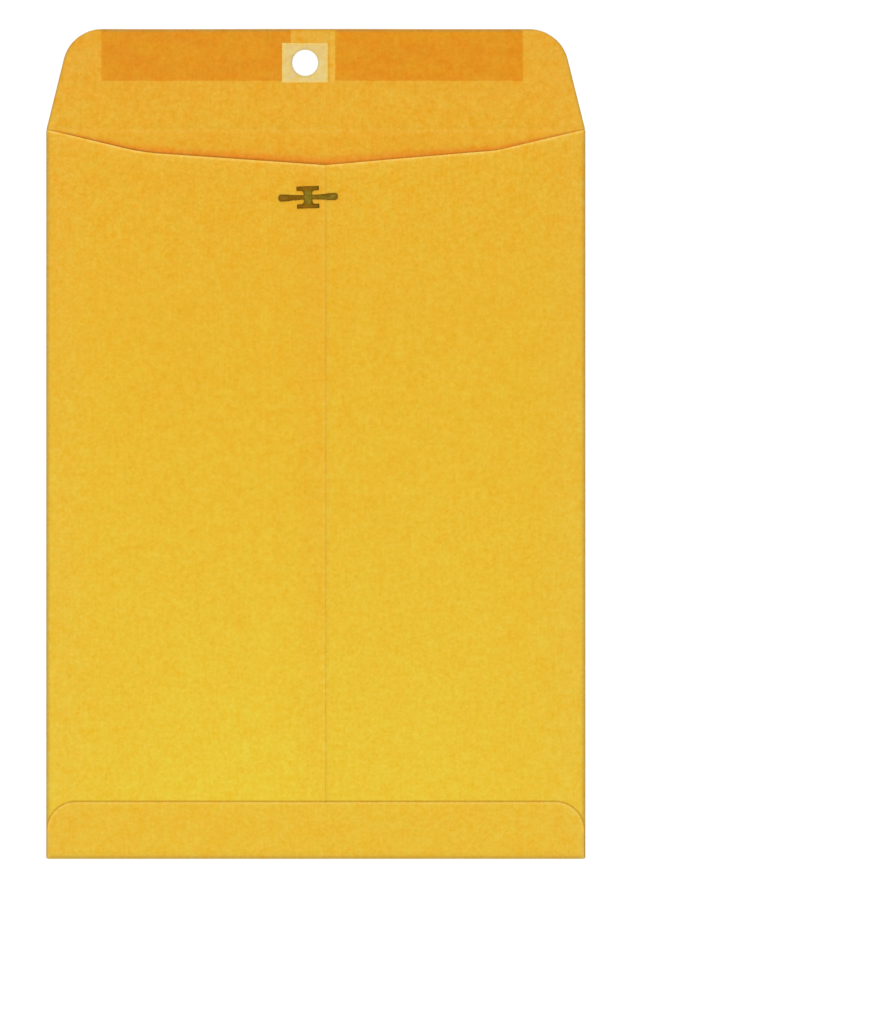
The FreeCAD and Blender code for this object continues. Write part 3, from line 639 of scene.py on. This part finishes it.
def clasp_material():
    """Dull plated metal, olive in the middle, browner on the bars and the left prong, with painted shade
    along the edges and the bar ends and a painted highlight in the paddles' hollows.
    """
    nodes = Nodes("clasp_metal")
    rightward, across, prong, depth = clasp_places(nodes)
    along = nodes.absolute(rightward)
    stain = nodes.noise(1.6, detail=4, rough=0.65, warp=0.4, shift=5.5)
    speck = nodes.noise(0.35, detail=2, rough=0.6, shift=9.1)
    blot = nodes.noise(0.9, detail=1, shift=6.6)
    edge_shade_noise = nodes.noise(1.3, detail=2, shift=4.7)
    colour = nodes.mix(nodes.remap(stain, 0.38, 0.66), linear(124, 107, 31), linear(112, 88, 18))
    bars = nodes.remap(across, BAR_FOOT - 0.5, BAR_FOOT + 0.5, 0.0, 0.8)
    colour = nodes.mix(bars, colour, linear(125, 84, 10))
    # Painted shade at the bar ends, where the legs bend down
    bar_end_shade = nodes.times(bars, nodes.remap(along, LEG_OUT - 1.25, LEG_OUT - 0.15))
    colour = nodes.mix(bar_end_shade, colour, linear(84, 60, 8))
    colour = nodes.mix(nodes.remap(speck, 0.58, 0.75, 0.0, 0.5), colour, linear(76, 56, 18))
    strips = nodes.remap(along, NECK_HALF - 0.1, NECK_HALF + 0.5)
    strips = nodes.times(strips, nodes.remap(stain, 0.35, 0.6, 0.3, 0.8))
    colour = nodes.mix(strips, colour, linear(104, 76, 9))
    # Painted highlight in the hollows of the prongs' paddles
    hollow_highlight = nodes.remap(along, PADDLE_START - 0.4, PADDLE_START + 0.4)
    hollow_highlight = nodes.times(hollow_highlight, nodes.remap(prong, 0.45, 0.75))
    hollow_highlight = nodes.times(hollow_highlight, nodes.remap(blot, 0.4, 0.6, 0.05, 0.6))
    colour = nodes.mix(hollow_highlight, colour, linear(140, 120, 48))
    left = nodes.remap(rightward, 0.2 - NECK_HALF, -0.8 - NECK_HALF, 0.0, 0.6)
    colour = nodes.mix(left, colour, linear(118, 75, 10))
    # Painted shade along the edges, broken up by noise
    edges = nodes.remap(depth, 0.05, 0.55, 1.0, 0.0)
    edges = nodes.times(edges, nodes.remap(edge_shade_noise, 0.35, 0.65, 0.35, 0.95))
    colour = nodes.mix(edges, colour, linear(88, 54, 10))
    nodes.link(colour, nodes.shader.inputs["Base Color"])
    nodes.shader.inputs["Metallic"].default_value = 1.0
    nodes.link(nodes.remap(stain, 0.3, 0.7, 0.34, 0.52), nodes.shader.inputs["Roughness"])
    scratch = nodes.noise(0.12, detail=2, rough=0.5, stretch=(14, 1, 1), shift=3.3)
    nodes.bump(scratch, 0.008, 0.5)
    return nodes.material


# Grid lines

def graded(low, high, step, fine_low=(), fine_high=()):
    """Grid lines from low to high about a step apart, and finer ones at set distances from the ends."""
    start = low + (fine_low[-1] if fine_low else 0.0)
    end = high - (fine_high[-1] if fine_high else 0.0)
    count = max(1, round((end - start) / step))
    middle = np.linspace(start, end, count + 1)
    near_ends = [low + np.array(fine_low), high - np.array(fine_high)]
    return np.unique(np.concatenate([[low], middle, [high], *near_ends]))


HOLE_SURROUND = 2.6
HOLE_BLOCK = HOLE_RADIUS + HOLE_SURROUND


def hole_lines(centre):
    """Grid lines across the hole and its surround."""
    inner = HOLE_RADIUS / 8 * np.arange(-8, 9)
    outer = HOLE_RADIUS + np.array([0.5, 1.1, 1.8, HOLE_SURROUND])
    return centre + np.concatenate([-outer[::-1], inner, outer])


def round_the_hole(x, y):
    """Turns the square rings of points round the hole into circles, and says which cells stay."""
    across = x - HOLE[0]
    along = y - HOLE[1]
    ring = np.maximum(np.abs(across), np.abs(along))
    reach = np.maximum(np.hypot(across, along), 1e-9)
    share = 1 - smooth((ring - HOLE_RADIUS) / (HOLE_BLOCK - HOLE_RADIUS))
    share = np.where(ring >= HOLE_BLOCK - 1e-9, 0.0, share)
    factor = 1 + share * (ring / reach - 1)
    new_x = HOLE[0] + across * factor
    new_y = HOLE[1] + along * factor
    middle_x = (x[:-1, :-1] + x[1:, 1:]) / 2 - HOLE[0]
    middle_y = (y[:-1, :-1] + y[1:, 1:]) / 2 - HOLE[1]
    keep = np.ones(x.shape, bool)
    keep[:-1, :-1] = np.maximum(np.abs(middle_x), np.abs(middle_y)) > HOLE_RADIUS
    return new_x, new_y, keep


def spread(x, inner, half):
    """Moves the outer columns of a grid so that its last one is at half."""
    beyond = (np.abs(x) - inner) / (FLAT_HALF - inner)
    return np.where(beyond > 0, np.sign(x) * (inner + beyond * (half - inner)), x)


# The folded sheet

LIGHT_REACH = 1.3
SIDE_REACH = 1.9
SIDE_FOLD_TONE = -0.8
COLUMN_STEP = 2.8
FINE = (0.25, 0.6, 1.1, 1.9)
CREASE_ROWS = (0.2, 0.45, 0.8, 1.3, 2.1)
block = hole_lines(HOLE[0])
columns = np.concatenate([
    graded(-FLAT_HALF, block[0], COLUMN_STEP, FINE)[:-1],
    block,
    graded(block[-1], FLAT_HALF, COLUMN_STEP, (), FINE)[1:],
])[None, :]
row_places = graded(FOOT_Y, FOLD_Y, 3.4, (0.5, 1.5), CREASE_ROWS)
run_shares = ((row_places - FOOT_Y) / (FOLD_Y - FOOT_Y))[:, None]


def fading(distance, reach):
    """From 1 at no distance softly down to 0 at reach."""
    return 1 - smooth(distance / reach)


def edge_light(distance):
    """The light line along a cut edge, a paler edge with a painted highlight, with a faint wide one under
    it.
    """
    return 0.85 * fading(distance, LIGHT_REACH) + 0.15 * fading(distance, 4 * LIGHT_REACH)


def side_dark(x):
    """Painted shade on the turn of the paper at the side folds."""
    return 0.8 * fading(HALF_WIDTH - np.abs(x), SIDE_REACH)


def body_y(x):
    """Rows from the bottom fold to the back panels' upper edge."""
    return FOOT_Y + run_shares * (panel_edge_y(x) - FOOT_Y)


def crease_tone(y):
    """The scored fold line: a painted highlight on the lip below it and a faint painted shade above."""
    lip = 0.14 * fading(np.abs(y - FOLD_Y + 0.5), 1.2)
    return lip - 0.07 * fading(np.abs(y - FOLD_Y - 0.9), 1.0)


# Front panel, with rows between the throat and the flap fold for the painted shade there
paper = Sheet()
front_y = body_y(columns)
edge = panel_edge_y(columns)
near_throat = [0.015, 0.04, 0.065, 0.09, 0.115, 0.15, 0.21, 0.32]
near_fold = [0.46, 0.6, 0.72, 0.82, 0.88, 0.92, 0.95, 0.98, 1.0]
rise_shares = np.array(near_throat + near_fold)[:, None]
front_y = np.concatenate([front_y, edge + rise_shares * (FOLD_Y - edge)])
past = front_y - edge
shown = past > -1e-6
from_side = FLAT_HALF - np.abs(columns)
# Painted shade with orange bounce light inside the throat, strongest at its edge
glow_reach = 0.2 + 5.6 * (1 - np.exp(-from_side / 45))
glow = np.where(shown, 0.12 + 0.88 * (1 - smooth(past / glow_reach * 1.2 - 0.2)), 0.0)
# Painted shadow line just past the throat's edge, stronger towards the sides
line_share = 0.12 + 0.4 * np.exp(-from_side / 24)
line = np.where(shown, line_share * fading(past - 0.5, 0.95), 0.0)
front_z = front_top(columns, front_y) - HALF_PAPER
# Painted highlight and shade at the score, painted shade at the side folds
front_tone = crease_tone(front_y) - side_dark(columns)
paper.grid(columns, front_y, front_z, edge_tone=front_tone, line=line, glow=glow)

# Side folds, with painted shade on their turn
turns = np.linspace(-math.pi / 2, math.pi / 2, 9)
middle_radius = FOLD_RADIUS - HALF_PAPER
fold_x = (FLAT_HALF + middle_radius * np.cos(turns))[None, :]
fold_y = body_y(np.array([[FLAT_HALF]]))
fold_low = front_top(FLAT_HALF, fold_y) - HALF_PAPER
fold_top = sleeve_top(FLAT_HALF, fold_y) - HALF_PAPER
fold_z = fold_low + (fold_top - fold_low) * (np.sin(turns)[None, :] + 1) / 2
paper.grid(fold_x, fold_y, fold_z, edge_tone=SIDE_FOLD_TONE)
paper.grid(-fold_x[:, ::-1], fold_y, fold_z[:, ::-1], edge_tone=SIDE_FOLD_TONE)


def add_panel(xs, level, seam, **marks):
    """A back panel over grid lines xs, level sheets above the even surface."""
    y = body_y(xs)
    z = sleeve_top(xs, y) - HALF_PAPER + level * PAPER
    # Lighter cut edge with a painted highlight, painted shade at the side folds, and any painted seam
    # shade
    tone = edge_light(panel_edge_y(xs) - y) - side_dark(xs) + seam
    paper.grid(xs[:, ::-1], y[:, ::-1], z[:, ::-1], edge_tone=tone[:, ::-1], **marks)


# Back panels, the left one over the right one at the seam
beside_seam = SEAM_X + np.array([-0.3, 0.0, 0.3, 0.7, 1.2, 2.0])
right_xs = np.concatenate([graded(PANEL_EDGE, FLAT_HALF, COLUMN_STEP, (), FINE), beside_seam])
right_xs = np.unique(right_xs)[None, :]
beyond = right_xs - SEAM_X
# Painted shadow on the right panel beside the left panel's free edge
seam_dark = np.where(beyond > -0.1, -0.13 * fading(beyond - 0.5, 1.1), 0.0)
add_panel(right_xs, 0.0, seam_dark, turned=0.2)
left_xs = np.unique(np.concatenate([
    graded(-FLAT_HALF, RAMP_FOOT, COLUMN_STEP, FINE),
    graded(RAMP_FOOT, PANEL_EDGE, 0.6),
    graded(PANEL_EDGE, SEAM_X, 2.3, (), FINE),
]))[None, :]
over = smooth((left_xs - RAMP_FOOT) / (PANEL_EDGE - RAMP_FOOT))
# Painted shade with a little orange on the left panel towards the seam, and its lighter cut edge with a
# painted highlight
near_seam = 0.1 * smooth((left_xs - SEAM_X + 13) / 6)
add_panel(left_xs, over, 0.2 * edge_light(SEAM_X - left_xs), glow=near_seam[:, ::-1])

# Bottom fold and bottom flap
flap_edge_rows = (0.12, 0.35, 0.7, 1.2, 1.9, 2.8)
flap_rows = graded(FOOT_Y, BOTTOM_Y + BOTTOM_FLAP, 2.0, (0.5, 1.2), flap_edge_rows)[:, None]
flap_x = spread(columns, 88.0, bottom_half(flap_rows))
step_down = fading(flap_x - SEAM_X, 2.5)
step_up = smooth((flap_x - RAMP_FOOT + 0.6) / (PANEL_EDGE - RAMP_FOOT))
flap_level = np.where(flap_x < SEAM_X, step_up, step_down)
free = BOTTOM_Y + BOTTOM_FLAP - flap_rows
curl = CURL * smooth(1 - free / 4) * (0.6 + 0.4 * waviness(flap_x, flap_rows))
flap_z = sleeve_top(flap_x, flap_rows) + HALF_PAPER + flap_level * PAPER + curl
# Painted shade along the bottom fold and, above the rounded corners, the side folds
fold_dark = 0.8 * fading(flap_rows - BOTTOM_Y, 2.4) ** 1.5
flap_tone = -np.maximum(fold_dark, side_dark(flap_x) * (free > BOTTOM_CORNER))
paper.grid(flap_x[:, ::-1], flap_rows, flap_z[:, ::-1], edge_tone=flap_tone[:, ::-1], turned=1.0)
bends = np.linspace(-math.pi / 2, -3 * math.pi / 2, 9)[:, None]
nose_share = np.linspace(0, 1, 9)[:, None]
nose_x = columns * (1 - nose_share) + flap_x[:1] * nose_share
nose_z = front_z[:1] + (flap_z[:1] - front_z[:1]) * (np.sin(bends) + 1) / 2
nose_y = FOOT_Y + (NOSE_RADIUS - HALF_PAPER) * np.cos(bends)
turned = nose_share[::-1]
# Painted shade on the turn of the bottom fold
paper.grid(nose_x[::-1], nose_y[::-1], nose_z[::-1], edge_tone=-0.75 * turned, turned=turned)

# Closing flap
upper_rows = np.unique(np.concatenate([
    graded(FOLD_Y, HOLE[1] - HOLE_BLOCK, 2.4, CREASE_ROWS),
    hole_lines(HOLE[1]),
    graded(HOLE[1] + HOLE_BLOCK, TOP_Y, 1.4, (), (0.08, 0.22, 0.5, 0.9, 1.5)),
]))[:, None]
grid_x, grid_y = np.broadcast_arrays(spread(columns, 78.0, closing_half(upper_rows)), upper_rows)
grid_x, grid_y, keep = round_the_hole(grid_x, grid_y)
side_gap = np.maximum(closing_half(grid_y) - np.abs(grid_x), 0.0) * 0.9
flap_gap = np.minimum(TOP_Y - grid_y, side_gap)
flap_z = front_top(grid_x, grid_y) - HALF_PAPER
# Painted highlight and shade at the score, and painted shade along the flap's outline
flap_tone = crease_tone(grid_y) - 0.75 * fading(flap_gap, 1.0)
paper.grid(grid_x, grid_y, flap_z, keep, edge_tone=flap_tone)

papers = [kraft("kraft_paper"), kraft("kraft_cut_edge", edge_only=True)]
paper_shell = paper.shell(HALF_PAPER, -HALF_PAPER)
make_piece("paper_sheet", paper_shell, papers, "envelope", "folded_sheet")


# Gum bands

def wander(values, rng, amount):
    """A small uneven offset along a line."""
    total = np.zeros_like(values)
    for _ in range(6):
        pitch = rng.uniform(2.5, 18)
        total = total + amount * np.sin(values * 2 * math.pi / pitch + rng.uniform(0, 6.28))
    return total


def gum_band(name, node, left, right, seed):
    """A thin film on the flap, its edges a little uneven, and thinner towards them."""
    rng = np.random.default_rng(seed)
    fine = (0.1, 0.3, 0.6, 1.0)
    xs = graded(left, right, 1.6, fine, fine)[None, :]
    ys = graded(GUM_FOOT, TOP_Y - 0.02, 1.4, fine)[:, None]
    run = (xs - left) / (right - left)
    rise = (ys - GUM_FOOT) / (TOP_Y - GUM_FOOT)
    x = xs + wander(ys, rng, 0.03) * (2 * run - 1)
    y = ys + wander(xs, rng, 0.03) * (1 - rise)
    gap = np.minimum(np.minimum(xs - left, right - xs), ys - GUM_FOOT)
    film = GUM_THICKNESS * (0.25 + 0.75 * smooth(gap / 0.6))
    band = Sheet()
    # Lighter towards the film's thin edges, and painted shade along the flap's top edge
    tone = fading(gap, 0.8) - 2 * fading(TOP_Y - ys, 1.0)
    band.grid(x, y, front_top(x, y) + film, edge_tone=tone)
    both, marks, faces, rim = band.shell(0.0, 0.0, along_normals=False)
    half = len(both) // 2
    both[half:, 2] = front_top(both[half:, 0], both[half:, 1]) + GUM_GAP
    make_piece(name, (both, marks, faces, rim), [gum], "envelope", node)


gum = gum_material()
gum_band("gum_band_left", "gum_strip_left", *GUM_LEFT, 21)
gum_band("gum_band_right", "gum_strip_right", *GUM_RIGHT, 22)

# Patch round the hole
half_x = PATCH[0] / 2
half_y = PATCH[1] / 2
patch_xs = np.unique(np.concatenate([
    hole_lines(HOLE[0])[2:-2],
    HOLE[0] + np.array([-half_x, -8.0, -7.0, 7.0, 8.0, half_x]),
    GUM_LEFT[1] + np.array([-0.15, 0.15]),
]))
patch_ys = np.unique(np.concatenate([
    hole_lines(HOLE[1])[2:-2],
    HOLE[1] + np.array([-half_y, -7.0, 7.0, half_y]),
]))
patch_x, patch_y, keep = round_the_hole(*np.meshgrid(patch_xs, patch_ys))
over_gum = GUM_THICKNESS * smooth((GUM_LEFT[1] + 0.3 - patch_x) / 0.6) * (patch_y > GUM_FOOT)
patch_sheet = Sheet()
patch_z = front_top(patch_x, patch_y) + over_gum + PATCH_GAP
patch_sheet.grid(patch_x, patch_y, patch_z, keep)
patch_shell = patch_sheet.shell(PATCH[2], 0.0, along_normals=False)
make_piece("patch_round_hole", patch_shell, [patch_material()], "envelope", "hole_patch")

# Clasp, whose solids stay as they are
metal = clasp_material()
for name in ("clasp_base", "prong_left", "prong_right"):
    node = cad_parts[name]
    node.data.materials.clear()
    node.data.materials.append(metal)
    bevel = node.modifiers.new("worn_edges", "BEVEL")
    bevel.width = WORN_EDGE * MM
    bevel.segments = 2
    bevel.limit_method = "ANGLE"
    bevel.angle_limit = math.radians(40)
    bevel.harden_normals = False

# Floor and light

FLOOR_REACH = 6.0
FLOOR_DROP = 0.05
FLOOR_GREY = (0.88, 0.88, 0.88, 1)
FLOOR_GLOW = 0.2
WORLD_STRENGTH = 0.543
KEY_STRENGTH = 1.55
KEY_SPREAD = 28.0
TOWARDS_KEY = (-0.35, -0.22, 1.0)


def floor_material():
    """Plain pale matt, a little brighter where the camera sees it, straight or in a reflection."""
    material = bpy.data.materials.new("floor")
    material.use_nodes = True
    tree = material.node_tree
    tree.nodes.clear()
    diffuse = tree.nodes.new("ShaderNodeBsdfDiffuse")
    diffuse.inputs["Color"].default_value = FLOOR_GREY
    ray = tree.nodes.new("ShaderNodeLightPath")
    seen = ray.outputs["Is Camera Ray"]
    for kind in ("Is Glossy Ray", "Is Transmission Ray"):
        either = tree.nodes.new("ShaderNodeMath")
        either.operation = "MAXIMUM"
        tree.links.new(seen, either.inputs[0])
        tree.links.new(ray.outputs[kind], either.inputs[1])
        seen = either.outputs[0]
    level = tree.nodes.new("ShaderNodeMath")
    level.operation = "MULTIPLY"
    level.inputs[1].default_value = FLOOR_GLOW
    tree.links.new(seen, level.inputs[0])
    glow = tree.nodes.new("ShaderNodeEmission")
    tree.links.new(level.outputs[0], glow.inputs["Strength"])
    both = tree.nodes.new("ShaderNodeAddShader")
    tree.links.new(diffuse.outputs[0], both.inputs[0])
    tree.links.new(glow.outputs[0], both.inputs[1])
    output = tree.nodes.new("ShaderNodeOutputMaterial")
    tree.links.new(both.outputs[0], output.inputs["Surface"])
    return material


def make_floor():
    """A large square just under the paper."""
    corners = [(x * FLOOR_REACH, y * FLOOR_REACH, 0) for x, y in ((-1, -1), (1, -1), (1, 1), (-1, 1))]
    mesh = bpy.data.meshes.new("floor")
    mesh.from_pydata(corners, [], [(0, 1, 2, 3)])
    mesh.materials.append(floor_material())
    square = bpy.data.objects.new("floor", mesh)
    square.location.z = -FLOOR_DROP * MM
    bpy.context.scene.collection.objects.link(square)
    return square


def make_light():
    """White surroundings and one wide soft key light, above and a little to the left of the foot."""
    world = bpy.data.worlds.new("studio")
    bpy.context.scene.world = world
    world.use_nodes = True
    background = world.node_tree.nodes["Background"]
    background.inputs["Color"].default_value = (1, 1, 1, 1)
    background.inputs["Strength"].default_value = WORLD_STRENGTH
    lamp = bpy.data.lights.new("key", "SUN")
    lamp.energy = KEY_STRENGTH
    lamp.angle = math.radians(KEY_SPREAD)
    key = bpy.data.objects.new("key", lamp)
    x, y, z = TOWARDS_KEY
    key.rotation_euler = (math.atan2(math.hypot(x, y), z), 0, math.atan2(x, -y))
    bpy.context.scene.collection.objects.link(key)


floor = make_floor()
make_light()

# Camera, straight above, with a long lens
SENSOR = 36.0
LENS = 100.0
VIEW_CENTRE = (52.2, -27.25)
VIEW_HEIGHT = 410.0
camera_data = bpy.data.cameras.new("camera")
camera_data.sensor_width = SENSOR
camera_data.lens = LENS
camera_data.clip_start = 0.01
camera_data.clip_end = 20
camera = bpy.data.objects.new("camera", camera_data)
distance = VIEW_HEIGHT / SENSOR * LENS + 1.0
camera.location = (VIEW_CENTRE[0] * MM, VIEW_CENTRE[1] * MM, distance * MM)
bpy.context.scene.collection.objects.link(camera)
bpy.context.scene.camera = camera
bpy.context.scene.view_settings.view_transform = "Standard"
